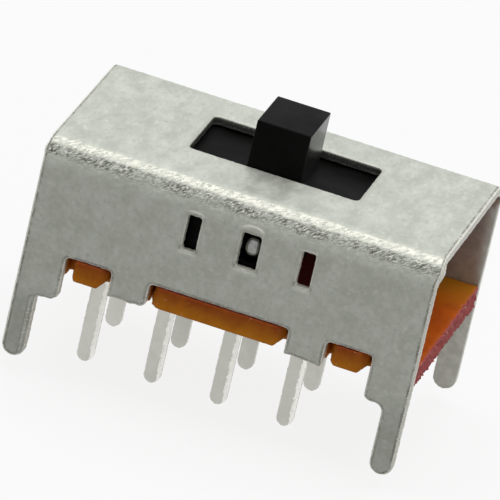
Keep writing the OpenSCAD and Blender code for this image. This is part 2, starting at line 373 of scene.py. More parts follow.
def fillBetween(ring, counts, lattice):
    # triangles of the face bounded by the ring's outlines, with the lattice inside it
    edges, outlines, start = [], [], 0
    for count in counts:
        edges += [(start + i, start + (i + 1) % count) for i in range(count)]
        outlines.append(ring[start:start + count])
        start += count
    points = np.vstack([ring, lattice]) if len(lattice) else ring
    _, _, faces, sources, _, _ = delaunay_2d_cdt([Vector(p) for p in points], edges, [], 0, 1e-6)
    corners = np.array([[sources[i][0] for i in face] for face in faces])
    corners = corners[insideOf(points[corners].mean(1), outlines)]
    a, b, c = (points[corners[:, k]] for k in range(3))
    turned = (b[:, 0] - a[:, 0]) * (c[:, 1] - a[:, 1]) - (b[:, 1] - a[:, 1]) * (c[:, 0] - a[:, 0]) < 0
    corners[turned] = corners[turned][:, ::-1]
    return corners


def sheetSolid(name, outlines, edgeRows, place, fills, tear, adjust=None, relief=None):
    # edgeRows run from the outer face round the cut edge to the inner one: inset, depth, share of tear
    # fills gives the fine and the coarse step, and where it is fine, for the outer and the inner face
    base, counts = np.vstack(outlines), [len(o) for o in outlines]
    outward = np.vstack([outwardOf(o) for o in outlines])
    ease = np.concatenate([easeOf(o, edgeRows[0][0]) for o in outlines])
    rows = []
    for inset, depth, share in edgeRows:
        torn = np.array([tear(u, v, depth) for u, v in base]) * share
        ring = base - outward * (inset * ease + torn)[:, None]
        if adjust:
            ring = np.array([adjust(u, v, depth) for u, v in ring])
        rows.append(np.column_stack([ring, np.full(len(base), depth)]))
    outerLattice, innerLattice = (latticeIn(np.split(row[:, :2], np.cumsum(counts)[:-1]), *fill)
                                  for row, fill in zip((rows[0], rows[-1]), fills))
    thickness = edgeRows[-1][1]
    ringPoints, rowCount = np.vstack(rows), len(edgeRows)
    total = len(base)
    outer = fillBetween(rows[0][:, :2], counts, outerLattice)
    inner = fillBetween(rows[-1][:, :2], counts, innerLattice)
    flat = np.vstack([ringPoints,
                      np.column_stack([outerLattice, np.zeros(len(outerLattice))]),
                      np.column_stack([innerLattice, np.full(len(innerLattice), thickness)])])
    faces, start = [], 0
    for count in counts:
        for i in range(count):
            a, b = start + i, start + (i + 1) % count
            faces += [(r * total + a, (r + 1) * total + a, (r + 1) * total + b, r * total + b)
                      for r in range(rowCount - 1)]
        start += count
    outerStart = len(ringPoints) - total
    innerStart = outerStart + len(outerLattice)
    faces += [tuple(i if i < total else i + outerStart for i in f) for f in outer.tolist()]
    faces += [tuple(i + (rowCount - 1) * total if i < total else i + innerStart for i in reversed(f))
              for f in inner.tolist()]
    if relief:
        for point in flat:      # the relief of the outer face fades towards the inner one
            point[2] -= relief(point[0], point[1]) * (1 - point[2] / thickness)
    mesh = bpy.data.meshes.new(name)
    mesh.from_pydata([place(*point) * mm for point in flat], [], faces)
    mesh.shade_smooth()
    cut = np.zeros(len(flat))
    cut[:len(ringPoints)] = np.repeat([smoothStep(0, 1, d / edgeRows[len(edgeRows) // 2][1])
                                       * smoothStep(0, 1, (thickness - d) / onFace)
                                       for _, d, _ in edgeRows], total)
    mark(mesh, "cutEdge", cut)
    rolled = np.zeros(len(flat))       # 1 at the edge of the outer face, 0 where its rounding starts
    reach, ends = edgeRows[0][0], sheetWork["rollEnds"]
    rolled[:len(ringPoints)] = np.repeat([(1 - inset / reach) * smoothStep(*ends, d / thickness)
                                          for inset, d, _ in edgeRows], total)
    mark(mesh, "edgeShare", rolled)
    spots = mesh.attributes.new("sheetPlace", "FLOAT_VECTOR", "POINT").data
    spots.foreach_set("vector", np.asarray(flat, np.float32).ravel())
    return mesh, flat


def tearBy(look):       # how far the punch tore the cut edge in, at a place and a depth
    return lambda u, v, depth: look["tear"] * noise.noise(Vector((u, v, depth * 2)) / look["tearLength"])


def mark(mesh, name, values):
    mesh.attributes.new(name, "FLOAT", "POINT").data.foreach_set("value", np.asarray(values, np.float32))


def markBy(mesh, flat, rules):      # numbers for each point, from its place on the flat sheet
    for name, rule in rules.items():
        mark(mesh, name, [rule(*point) for point in flat])


def newPiece(name, mesh, material, body, slot, *nodes):
    mesh.materials.clear()
    mesh.materials.append(material)
    piece = bpy.data.objects.new(name, mesh)
    bpy.context.scene.collection.objects.link(piece)
    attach(piece, body)
    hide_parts(*nodes)
    print(name, "made,", len(mesh.polygons), "faces")
    return piece


def boxInMm(nodeName):
    low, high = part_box(nodeName)
    return low / mm, high / mm


# Cover frame: zinc coated sheet, punched flat and then folded

coverShape = {
    "thickness": 0.5,
    "bendRadius": 1.45,      # outside
    "edgeStep": 0.09,        # between points along a cut edge
    "skinTilt": 0.5,         # faces that lean more than this towards X are cut edges, not the skin
    "fineStep": 0.06,
    "coarseStep": 0.42,
    "fineTurn": (0.02, 0.92),                # shares of a bend that get fine points
    "detailReach": 0.75,     # fine points this far round each window
    "edgeRows": [            # inset, depth, share of tear
        (0.26, 0.0, 0.2), (0.18, 0.007, 0.5), (0.11, 0.026, 1.0), (0.055, 0.056, 1.0), (0.015, 0.10, 0.8),
        (0.0, 0.16, 0.3), (0.0, 0.25, 0.1), (0.004, 0.29, 0.6), (0.012, 0.35, 1.0), (0.012, 0.41, 1.0),
        (0.004, 0.465, 1.0), (0.018, 0.49, 0.8), (0.05, 0.5, 0.3)],
    "tear": 0.03,
    "tearLength": 0.15,
    "waveHeight": 0.012,     # the plate is never quite flat
    "waveLength": 4.0,
    "crackHeight": 0.028,    # folds of the cracked coating on the bends
    "crackLength": 0.2,
    "crackSlant": (0.9, 0.5, 3.0),
    "crackMiddle": 0.6,      # of the turbulence, left level with the sheet
    "crackBand": (0.10, 0.24, 0.70, 0.84),   # shares of the bend where the cracks start and end
    "endPinch": 0.10,        # a bend narrows the outside of the sheet at its two ends
    "endBulge": 0.16,        # and widens the inside
    "endReach": 1.1,

    # windows: a raised lip above, a burr along the right edge, and a ledge dragged inwards below
    "windowReach": 3,        # mm below its upper edge, all that one window can touch
    "lipHeight": 0.045,
    "lipReach": (0.27, 0.46, 0.12),          # outer left, middle and outer right windows
    "lipSide": 0.1,
    "lipStep": 0.03,
    "lipArch": 0.4,
    "lipFade": (1.05, 0.9),                  # shares of the half width
    "lipUnder": (-0.25, -0.05),
    "burrHeight": 0.035,
    "burrWidth": 0.07,
    "burrMiddle": 0.4,
    "burrFade": 0.1,
    "burrAbove": 0.15,
    "ledgeDrop": 0.2,
    "ledgeReach": 0.16,
    "ledgeInside": (-0.3, -0.02),
    "ledgeFade": (1.1, 0.85),
    "burnishGlintFade": (1.0, 0.8),

    # tabs and legs
    "tabRound": 0.35,
    "frontTabs": (           # left and right corner left square, drop to the right, a burr's place and drop
        (0.95, 0.0, 0.0, 0.58, 0.05), (0.95, 0.3, 0.12, 0.94, 0.04)),
    "footBurrWidth": 0.09,
    "footReach": 1.5,        # in radii, what hangs lower with the foot at each side
    "cornerReach": 1.05,     # in radii, what squaring a corner takes in
    "legFoot": 1.0,          # mm, what counts as the foot of a leg
    "legFillet": 0.4,
    "legCornerSquare": 0.9,  # the left front leg meets its shoulder in a sharp corner
    "shoulderDrop": 0.13,    # which hangs lower there, fading along the shoulder and down the leg
    "shoulderReach": 1.15,
    "shoulderFoot": 0.6,
    "legBand": 0.34,         # dragged band along the inner side of the left front leg
    "legBandStart": (-0.06, 0.05),
    "legBandTop": 4.3,       # mm, its upper end
    "legBandFade": 0.25,
    "legBandDrop": 0.025,

    # crimped lips under the board
    "lipProfile": (          # share of the reach, level (1 the middle, 2 the top), and mm above it
        (0, 0, 0), (0.55, 0.4, 0), (0.92, 1, -0.02), (1, 1, 0.06), (1, 2, -0.04), (0.9, 2, 0), (0, 2, 0)),
    "lipEndShare": 0.25,     # how much of the reach is left at the two ends
    "lipSteps": 12,

    "edgeWear": (1.3, 0.85, 0.2),            # along the ends, the notches, and the openings
    "wearReach": 0.5,
    "insideFrom": 0.9,       # share of the thickness
    "slotCutFrom": (0.05, 0.12),
}


def coverSizes():
    low, high = boxInMm("cover_frame")
    radius = coverShape["bendRadius"]
    flatHalf = high.y - radius
    return {"half": high.y, "end": high.x, "top": high.z, "flatHalf": flatHalf,
            "bendEnd": flatHalf + radius * math.pi / 2, "bendZ": high.z - radius}


def turnShare(sizes, v):        # how far round a bend a point lies: 0 on top, 1 on a wall
    return min(max((abs(v) - sizes["flatHalf"]) / (sizes["bendEnd"] - sizes["flatHalf"]), 0.0), 1.0)


def foldPlace(sizes):
    # from the flat sheet (along, across from the middle of the top, depth) to the folded frame
    look, thickness = coverShape, coverShape["thickness"]
    radius = look["bendRadius"]

    def place(u, v, depth):
        run, side, turn = abs(v), math.copysign(1, v), turnShare(sizes, v)
        strain = -look["endPinch"] + (look["endPinch"] + look["endBulge"]) * depth / thickness
        nearEnd = smoothStep(sizes["end"] - look["endReach"], sizes["end"], abs(u))
        bulge = math.sin(math.pi * turn) ** 2 if 0 < turn < 1 else 0
        u += math.copysign(strain * nearEnd * bulge, u)
        if run <= sizes["flatHalf"]:
            return Vector((u, v, sizes["top"] - depth))
        if run < sizes["bendEnd"]:
            angle = turn * math.pi / 2
            return Vector((u, side * (sizes["flatHalf"] + (radius - depth) * math.sin(angle)),
                           sizes["bendZ"] + (radius - depth) * math.cos(angle)))
        return Vector((u, side * (sizes["half"] - depth), sizes["bendZ"] - (run - sizes["bendEnd"])))
    return place


def unfold(sizes):
    # the reverse for a point on the outside: along, across, and its depth below the outside
    radius = coverShape["bendRadius"]

    def flatten(point):
        run, side = abs(point.y), math.copysign(1, point.y)
        if point.z <= sizes["bendZ"]:
            return point.x, side * (sizes["bendEnd"] + sizes["bendZ"] - point.z), sizes["half"] - run
        if run <= sizes["flatHalf"]:
            return point.x, point.y, sizes["top"] - point.z
        offset = Vector((run - sizes["flatHalf"], point.z - sizes["bendZ"]))
        angle = math.atan2(offset.x, offset.y)
        return point.x, side * (sizes["flatHalf"] + angle * radius), radius - offset.length
    return flatten


def tabLips():
    # for each crimped lip of the CAD node: its ends along X, side, reach inwards, and foot and top
    inner = boxInMm("cover_frame")[1].y - coverShape["thickness"]
    board = boxInMm("base_board")[0].z
    points = [v.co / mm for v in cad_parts["cover_frame"].data.vertices]
    lips = []
    for side in (-1, 1):
        for end in (-1, 1):
            own = [p for p in points if p.y * side < inner - nearFace and p.y * side > 0 and p.x * end > 0
                   and p.z < board]
            xs, zs = [p.x for p in own], [p.z for p in own]
            lips.append({"ends": (min(xs), max(xs)), "side": side, "inner": inner,
                         "reach": inner - min(p.y * side for p in own), "heights": (min(zs), max(zs))})
    return lips


def coverOutlines(sizes, lips):
    look, flatten = coverShape, unfold(sizes)
    shape = cadCopy("cover_frame")

    def isSkin(face):
        return abs(face.normal.x) < look["skinTilt"] and face.calc_center_median().z >= 0 \
            and all(abs(flatten(v.co / mm)[2]) < onFace for v in face.verts)
    outlines = outlinesOf(shape, isSkin, lambda p: flatten(p)[:2])
    shape.free()
    outlines = [evenlySpaced(o, look["edgeStep"]) for o in outlines]
    workTabs(outlines[0], lips)
    workLeg(outlines[0], sizes)
    return outlines


def squareOff(outline, centre, radius, toX, toY, share):
    # pushes a rounded corner out towards the square one; toX and toY say on which side of the centre it is
    for point in outline:
        offset = point - centre
        if all(0 < part * way < radius * coverShape["cornerReach"] for part, way in zip(offset, (toX, toY))):
            stretch = max(abs(offset)) / np.linalg.norm(offset)
            point += offset * (stretch ** -share - 1)


def workTabs(outline, lips):
    # the feet of the two front tabs: corners left square, a burr, and a foot that runs lower to the right
    look, radius = coverShape, coverShape["tabRound"]
    around = radius * look["footReach"]
    fronts = sorted((lip for lip in lips if lip["side"] < 0), key=lambda lip: lip["ends"][0])
    for lip, (leftSquare, rightSquare, drop, burrAt, burrDrop) in zip(fronts, look["frontTabs"]):
        middle, reach = sum(lip["ends"]) / 2, (lip["ends"][1] - lip["ends"][0]) / 2
        foot = outline[np.abs(outline[:, 0] - middle) < radius, 1].min()
        atFoot = (np.abs(outline[:, 1] - foot) < onFace) & (np.abs(outline[:, 0] - middle) < reach * 2)
        left, right = outline[atFoot, 0].min() + onFace, outline[atFoot, 0].max() - onFace
        for end, way, share in ((left, -1, leftSquare), (right, 1, rightSquare)):
            squareOff(outline, np.array([end, foot + radius]), radius, way, -1, share)
        for point in outline:
            if left - around < point[0] < right + around and point[1] < foot + radius:
                share = (point[0] - left + radius) / (right - left + 2 * radius)
                point[1] -= drop * share * smoothStep(foot + radius, foot + radius / 2, point[1])
                across = (share - burrAt) * (right - left) / look["footBurrWidth"]
                if point[1] < foot + byFace:
                    point[1] -= burrDrop * math.exp(-across * across)


def workLeg(outline, sizes):
    # the sharp corner between the left front leg and its shoulder
    look, legSide = coverShape, inLegs(sizes)
    radius, reach = look["legFillet"], look["shoulderReach"]
    near = outline[(np.abs(outline[:, 0] - legSide) < onFace) & (outline[:, 1] < -sizes["bendEnd"])]
    corner = near[:, 1].max() + radius
    squareOff(outline, np.array([legSide + radius, corner - radius]), radius, -1, 1, look["legCornerSquare"])
    for point in outline:
        if legSide - onFace < point[0] < legSide + reach and point[1] < corner + byFace:
            fading = smoothStep(corner - look["shoulderFoot"], corner, point[1])
            point[1] -= look["shoulderDrop"] * (1 - (point[0] - legSide) / reach) * fading


def windowsIn(outlines, sizes):
    # middle, half width, and upper and lower edge as distances across, of each window in a wall
    found = []
    for outline in outlines[1:]:
        low, high = outline.min(0), outline.max(0)
        if min(abs(low[1]), abs(high[1])) > sizes["bendEnd"]:
            near, far = sorted((abs(low[1]), abs(high[1])))
            found.append({"middle": (low[0] + high[0]) / 2, "half": (high[0] - low[0]) / 2,
                          "side": math.copysign(1, low[1]), "upper": near, "lower": far})
    found.sort(key=lambda w: w["middle"])
    for side in (-1, 1):
        for window, reach in zip([w for w in found if w["side"] == side], coverShape["lipReach"]):
            window["reach"] = reach
    return found


def crackShare(sizes, v):       # 0 on the flats, 1 where the coating has cracked
    start, full, fading, end = coverShape["crackBand"]
    turn = turnShare(sizes, v)
    return smoothStep(start, full, turn) * (1 - smoothStep(fading, end, turn))


def windowRelief(u, v, windows):
    # how far the sheet stands proud round the windows, in mm, and how much painted highlight, partly real
    # burnish, its lip rims and burrs get
    look, height, burnishGlint = coverShape, 0.0, 0.0
    for w in windows:
        above, below, aside = w["upper"] - abs(v), abs(v) - w["lower"], u - w["middle"]
        if v * w["side"] < 0 or abs(aside) > w["half"] + look["detailReach"] \
                or not -look["windowReach"] < above < look["detailReach"]:
            continue
        across, step = abs(aside) / (w["half"] + look["lipSide"]), look["lipStep"]
        top = w["reach"] * (1 - look["lipArch"] * across * across)
        lip = smoothStep(top + step, top - step, above) * smoothStep(*look["lipFade"], across) \
            * smoothStep(*look["lipUnder"], above)
        beside, fade = (aside - w["half"]) / look["burrWidth"], look["burrFade"]
        burr = smoothStep(1, 0, abs(beside - look["burrMiddle"])) * smoothStep(fade, -fade, below) \
            * smoothStep(-fade, fade, look["burrAbove"] - above)
        ledge = smoothStep(look["ledgeReach"], -look["ledgeReach"] / 4, below) \
            * smoothStep(*look["ledgeInside"], below) * smoothStep(*look["ledgeFade"], across)
        height += lip * look["lipHeight"] + burr * look["burrHeight"] - ledge * look["ledgeDrop"]
        rim = smoothStep(1, 0, abs(above - top) / (2 * step)) * smoothStep(*look["burnishGlintFade"], across)
        burnishGlint = max(burnishGlint, burr, rim)
    return height, burnishGlint


def legBandShare(u, v, sizes):  # 1 on the dragged band of the left front leg
    look, start = coverShape, inLegs(sizes)
    top, height = look["legBandTop"], sizes["bendEnd"] + sizes["bendZ"] - abs(v)
    if v > 0 or u > start + look["legBand"] or height > top:
        return 0.0
    return smoothStep(*(start - look["legBand"] + shift for shift in look["legBandStart"]), u) \
        * smoothStep(top, top - look["legBandFade"], height)


def wearAt(u, v, sizes):        # how much the edge nearest to a point is rubbed, which also sets how strong its painted shade and painted highlight are
    atEnds, atNotches, atOpenings = coverShape["edgeWear"]
    reach = coverShape["wearReach"]
    if sizes["end"] - abs(u) < reach:
        return atEnds
    for low, high in sizes["openings"]:
        if low[0] - reach < u < high[0] + reach and low[1] - reach < v < high[1] + reach:
            return atOpenings
    return atNotches


def inLegs(sizes):              # X of the inner side of the left legs, from the lowest points of the frame
    if "legSide" not in sizes:
        low = boxInMm("cover_frame")[0]
        xs = [v.co.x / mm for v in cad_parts["cover_frame"].data.vertices
              if v.co.x < 0 and v.co.z / mm < low.z + coverShape["legFoot"]]
        sizes["legSide"] = max(xs)
    return sizes["legSide"]


def coverRelief(sizes, windows):
    look = coverShape

    def relief(u, v):
        height = noise.noise(Vector((u, v, 0)) / look["waveLength"]) * look["waveHeight"]
        height += windowRelief(u, v, windows)[0] - legBandShare(u, v, sizes) * look["legBandDrop"]
        cracked = crackShare(sizes, v)
        if cracked > 0:
            less, more, layer = look["crackSlant"]
            slant = Vector(((u - v) * less, (u + v) * more, layer)) / look["crackLength"]
            fold = noise.turbulence(slant, 2, False) - look["crackMiddle"]
            height += cracked * look["crackHeight"] * fold
        return height
    return relief


def addLips(shape, lips):
    # coined lips: a bent-in profile carried along X, rounded off at both ends
    look, least = coverShape, coverShape["lipEndShare"]
    for lip in lips:
        (start, end), (foot, top), inner = lip["ends"], lip["heights"], lip["inner"]
        corners = [(lip["reach"] * share, foot + (top - foot) / 2 * level + rise)
                   for share, level, rise in look["lipProfile"]]
        rings = []
        for k in range(look["lipSteps"] + 1):
            share = k / look["lipSteps"]
            x, full = start + (end - start) * share, math.sqrt(max(0.0, 1 - abs(2 * share - 1) ** 4))
            ring = [(inner, foot)]
            for inset, z in corners:
                rough = noise.noise(Vector((x, inner - inset, z)) / look["tearLength"]) * look["tear"]
                ring.append((inner - inset * (least + (1 - least) * full) + rough, z))
            ring.append((inner, top))
            rings.append([shape.verts.new(Vector((x, lip["side"] * y, z)) * mm) for y, z in ring])
        for a, b in zip(rings, rings[1:]):
            for k in range(len(a)):
                n = (k + 1) % len(a)
                shape.faces.new((a[k], a[n], b[n], b[k]))
        shape.faces.new(rings[0])
        shape.faces.new(rings[-1][::-1])


def makeCoverMesh():
    look, sizes, lips = coverShape, coverSizes(), tabLips()
    outlines = coverOutlines(sizes, lips)
    windows = windowsIn(outlines, sizes)
    sizes["openings"] = [(o.min(0), o.max(0)) for o in outlines[1:]]
    thickness, reach = look["thickness"], look["detailReach"]

    def isFine(u, v):
        if look["fineTurn"][0] < turnShare(sizes, v) < look["fineTurn"][1]:
            return True
        if v < 0 and inLegs(sizes) - reach < u < inLegs(sizes) \
                and sizes["bendEnd"] + sizes["bendZ"] + v < look["legBandTop"] + reach / 3:
            return True
        return any(abs(u - w["middle"]) < w["half"] + reach / 3 and v * w["side"] > 0
                   and w["upper"] - reach < abs(v) < w["lower"] + reach / 2 for w in windows)

    def isBend(u, v):
        return 0 < turnShare(sizes, v) < 1

    fills = ((look["fineStep"], look["coarseStep"], isFine),
             (3 * look["fineStep"], 2 * look["coarseStep"], isBend))
    mesh, flat = sheetSolid("coverSkin", outlines, look["edgeRows"], foldPlace(sizes), fills, tearBy(look),
                            relief=coverRelief(sizes, windows))
    slotLow, slotHigh = outlines[1].min(0) - nearFace, outlines[1].max(0) + nearFace
    markBy(mesh, flat, {
        "bendTurn": lambda u, v, d: turnShare(sizes, v) if d < thickness / 2 else 1.0,
        "burnishGlint": lambda u, v, d: windowRelief(u, v, windows)[1] if d < thickness / 4 else 0,
        "legBand": lambda u, v, d: legBandShare(u, v, sizes) if d < thickness / 4 else 0,
        "wearAndLight": lambda u, v, d: wearAt(u, v, sizes),
        "inside": lambda u, v, d: smoothStep(thickness * look["insideFrom"], thickness, d),
        "slotCut": lambda u, v, d: smoothStep(*look["slotCutFrom"], d)
        if (slotLow < (u, v)).all() and (slotHigh > (u, v)).all() else 0})
    shape, lipShape, lipMesh = bmesh.new(), bmesh.new(), bpy.data.meshes.new("lips")
    addLips(lipShape, lips)
    bmesh.ops.recalc_face_normals(lipShape, faces=lipShape.faces)
    lipShape.to_mesh(lipMesh)
    for part in (mesh, lipMesh):
        shape.from_mesh(part)
    shape.to_mesh(mesh)
    shape.free()
    lipShape.free()
    mesh.shade_smooth()
    return mesh


zincLook = {
    "light": (0.575, 0.59, 0.525, 1),
    "dark": (0.455, 0.47, 0.405, 1),
    "cloud": (0.9, 3, 0.6, 0.28, 0.72),      # size in mm, detail, roughness, and the limits that count
    "cloudStretch": (1, 0.5, 1),
    "mottle": (0.40, 0.42, 0.37, 1),
    "mottleNoise": (0.26, 3, 0.65),
    "mottleDark": (0.52, 0.70, 0, 0.55),     # from these values of the noise, to these shares
    "mottlePale": (0.46, 0.3, 0, 0.36),
    "speck": (0.70, 0.72, 0.67, 1),
    "speckTiny": (0.1, 2, 0.6, 0.66, 0.76, 0, 0.55),
    "speckSize": 0.45,
    "speckRound": (0.22, 0.06),
    "speckWhere": (1.0, 2, 0.5, 0.52, 0.62, 0, 0.5),
    "pit": (0.24, 0.25, 0.21, 1),
    "pitSpots": (0.17, 2, 0.6, 0.68, 0.78, 0, 0.5),
    "grain": (0.07, 2, 0.6),                 # crystals of the coating
    "grainDepth": 0.005,
    "legs": (0.85, 0.85, 0.85, 1),           # the legs are a little darker, by this factor
    "legsFrom": (5.0, 3.9),                  # mm

    # the bends: a burnished line with flecks, painted bright as a highlight of the overhead lamp, then the
    # band where the coating has cracked, painted darker as shade, with painted shadow in the cracks and
    # painted highlight on their pale strokes
    "bendWaver": (0.14, 0.7, 3, 0.6),
    "bendGlint": (0.90, 0.89, 0.79, 1),
    "bendGlintBand": (0.15, 0.24, 0.34, 0.45),   # shares of the bend: start, full, fading, end
    "bendGlintRough": 0.15,
    "fleck": (0.14, 2, 0.7, 0.44, 0.53),
    "netSize": 0.16,
    "netLimits": (0.16, 0.05),
    "netShare": 0.5,
    # the dark strokes are painted shadow in the cracks, the colour under them painted shade over the cracked
    # band
    "crack": (0.10, 0.105, 0.08, 1),
    "crackBandShade": (0.36, 0.37, 0.32, 1),
    "crackBand": (0.38, 0.47, 0.60, 0.75),
    "crackCluster": (0.8, 3, 0.65, 0.40, 0.62, 0.4, 1),
    "crackDepth": 0.045,
    "stroke": (0.085, 2, 0.7),
    "strokeTurn": -38,                       # degrees, the strokes of the cracks against the bend line
    "strokeStretch": (0.4, 1, 1),
    "strokeDark": (0.51, 0.43),
    "strokePale": (0.56, 0.64, 0, 0.85),

    # worn edges: painted shade along the rounding of the outer face and beside the dragged band on the leg, a
    # painted highlight at the very edge, partly bare burnished metal, the cut itself, and painted shade on
    # the slot's cut faces
    "flake": (0.1, 3, 0.75),
    "roll": (0.22, 0.225, 0.19, 1),
    "rollBand": (0.1, 0.42, 0.58, 0.76),
    "rollFlake": (0.62, 0.42, 0.45, 1),
    "rollWhere": (0.9, 2, 0.6, 0.36, 0.6, 0.3, 1),
    "rollDepth": 0.02,
    "legRoll": (0.1, 0.4, 0.6, 0.9),         # beside the dragged band on a leg
    "legRollShare": 0.7,
    "edge": (0.88, 0.86, 0.77, 1),
    "edgeFrom": (0.72, 0.92),
    "edgeReach": 0.14,                       # further in where the edge is more worn
    "edgeFlake": (0.38, 0.52, 0.5, 1),
    "chipBand": (0.1, 0.3, 0.7, 0.9),
    "chipFlake": (0.60, 0.68),
    "legFlake": (0.5, 0.66, 0.1, 0.75),
    "cutFlake": (0.35, 0.55, 0.5, 1),
    # painted highlight, partly real burnish, on the window lips and burrs
    "burnishGlintShare": 0.65,
    # painted shade on the cut faces round the slot
    "slotShade": (0.06, 0.065, 0.055, 1),
    "slotFlake": (0.66, 0.45, 0.86, 1),

    "metallic": 0.25,
    "roughness": (0.42, 0.56),
    "insideColour": (0.54, 0.54, 0.485, 1),
    "insideDark": (0.43, 0.43, 0.385, 1),
    "insideCloud": (0.6, 4, 0.7, 0.35, 0.65),
    "insideMetallic": 0.42,
    "insideRoughness": 0.33,
}


def zincSurface(place):
    # the coating away from edges and bends: clouds, mottles, soft specks and pits
    look = zincLook
    cloud, mottle = spotsAt(place, *look["cloud"]), noiseAt(place, *look["mottleNoise"])
    speck = times(spread(cellsAt(place, look["speckSize"]), *look["speckRound"]),
                  spotsAt(place, *look["speckWhere"]))
    colour = layered(blend(cloud, look["dark"], look["light"]),
                     (spread(mottle, *look["mottleDark"]), look["mottle"]),
                     (spread(mottle, *look["mottlePale"]), look["speck"]),
                     (spotsAt(place, *look["speckTiny"]), look["speck"]),
                     (speck, look["speck"]),
                     (spotsAt(place, *look["pitSpots"]), look["pit"]))
    return colour, cloud


def zincBends(place):
    # the layers on the bends, with painted shade and shadow on the cracked band and painted highlight on the
    # burnished line, how much of that highlight shows, and the height of the cracks
    look = zincLook
    turn = plus(marked("bendTurn"), waverAt(place, *look["bendWaver"]))
    slanted = placeInMm((0, 0, math.radians(look["strokeTurn"])), look["strokeStretch"], "sheetPlace")
    stroke = noiseAt(slanted, *look["stroke"])
    net = spread(cellsAt(slanted, look["netSize"], "DISTANCE_TO_EDGE"), *look["netLimits"])
    bits = larger(spotsAt(slanted, *look["fleck"]), times(net, look["netShare"]))
    bendGlint = times(bandOf(turn, *look["bendGlintBand"]), bits)
    cracked = times(bandOf(turn, *look["crackBand"]), spotsAt(place, *look["crackCluster"]))
    layers = ((cracked, look["crackBandShade"]),
              (times(cracked, spread(stroke, *look["strokeDark"])), look["crack"]),
              (times(cracked, spread(stroke, *look["strokePale"])), look["bendGlint"]),
              (bendGlint, look["bendGlint"]))
    return layers, bendGlint, times(stroke, bandOf(turn, *coverShape["crackBand"]))


def zincEdges(place):
    # the layers along the edges, with painted shade along the rounding and in the slot and a painted
    # highlight at the edge, and the height of the flakes there
    look = zincLook
    edge, wearAndLight, legBand = marked("edgeShare"), marked("wearAndLight"), marked("legBand")
    flake = noiseAt(place, *look["flake"])
    roll = times(bandOf(edge, *look["rollBand"]), spread(flake, *look["rollFlake"]),
                 spotsAt(place, *look["rollWhere"]), wearAndLight)
    roll = larger(roll, times(bandOf(legBand, *look["legRoll"]), look["legRollShare"]))
    reached = plus(edge, times(wearAndLight, look["edgeReach"]))
    bright = larger(times(spread(reached, *look["edgeFrom"]), spread(flake, *look["edgeFlake"])),
                    times(bandOf(edge, *look["chipBand"]), wearAndLight, spread(flake, *look["chipFlake"])),
                    times(legBand, spread(flake, *look["legFlake"])),
                    times(marked("cutEdge"), spread(flake, *look["cutFlake"])),
                    times(marked("burnishGlint"), look["burnishGlintShare"]))
    # painted shade on the slot's cut faces
    slotCut = times(marked("slotCut"), spread(flake, *look["slotFlake"]))
    layers = ((roll, look["roll"]), (bright, look["edge"]), (slotCut, look["slotShade"]))
    return layers, times(flake, edge, wearAndLight)


def zincMaterial():
    material, look = newMaterial("zincSteel"), zincLook
    place = placeInMm()
    colour, cloud = zincSurface(placeInMm(stretch=look["cloudStretch"]))
    height = addNode("ShaderNodeSeparateXYZ", {0: place}).outputs["Z"]
    legs = addNode("ShaderNodeMix", {0: spread(height, *look["legsFrom"]), 6: colour, 7: look["legs"]},
                   data_type="RGBA", blend_type="MULTIPLY")
    bendLayers, bendGlint, crackHeight = zincBends(place)
    edgeLayers, flakeHeight = zincEdges(place)
    inside = marked("inside")
    insideTone = blend(spotsAt(place, *look["insideCloud"]), look["insideDark"], look["insideColour"])
    roughness = plus(spread(cloud, 0, 1, *look["roughness"]), times(bendGlint, look["bendGlintRough"]))
    fine = bump(noiseAt(place, *look["grain"]), look["grainDepth"])
    flaked = bump(flakeHeight, look["rollDepth"], fine)
    return finished(material, {
        "Base Color": layered(legs.outputs[2], *bendLayers, *edgeLayers, (inside, insideTone)),
        "Roughness": between(inside, roughness, look["insideRoughness"]),
        "Metallic": between(inside, look["metallic"], look["insideMetallic"]),
        "Normal": bump(crackHeight, look["crackDepth"], flaked)})


def makeCover():
    newPiece("coverSkin", makeCoverMesh(), zincMaterial(), "frame", "zinc_steel", "cover_frame")


# Base board: paper laminate, sawn at its ends and punched round its tenons

boardShape = {
    "edgeStep": 0.12,
    "fineStep": 0.15,
    "coarseStep": 0.75,
    "edgeRows": [            # inset in mm, depth as a share of the thickness, share of tear
        (0.07, 0.0, 0.3), (0.022, 0.016, 0.8),
        *((0.0, depth, 1.0) for depth in (0.05, 0.15, 0.27, 0.4, 0.52, 0.65, 0.77, 0.88, 0.95)),
        (0.022, 0.984, 0.8), (0.07, 1.0, 0.3)],
    "endTear": 0.13,         # the sawn ends are ragged
    "sideTear": 0.02,
    "tearLength": 0.22,
    "tearDepth": 1.6,        # the tear changes faster down the edge, by this factor
    "endReach": 0.5,
    "relief": (0.1, 0.75),   # punched beside each tenon: beyond its end, into the board
    "reliefInto": (0.26, 0.06, 0.14),        # into the end of each tenon
    "endGap": 0.1,           # the narrower cut at its other end
    "cornerCut": 0.45,       # off the lower corner at the other end
    "flatten": 0.03,
    "sawnFrom": (0.22, 0.1), # mm in from the ends
    "sawnDepth": 0.02,
}


def tenonsIn(outline, high):
    # the ends along X of the tenons of one side, and how far out the board's own edge lies
    edge = abs(outline[np.abs(outline[:, 0]) > high.x - onFace, 1]).max()
    out = evenlySpaced(outline, boardShape["edgeStep"], 0)
    out = np.sort(out[out[:, 1] < -edge - onFace, 0])
    groups = np.split(out, np.nonzero(np.diff(out) > 2 * boardShape["edgeStep"])[0] + 1)
    return edge, [(g.min(), g.max()) for g in groups]


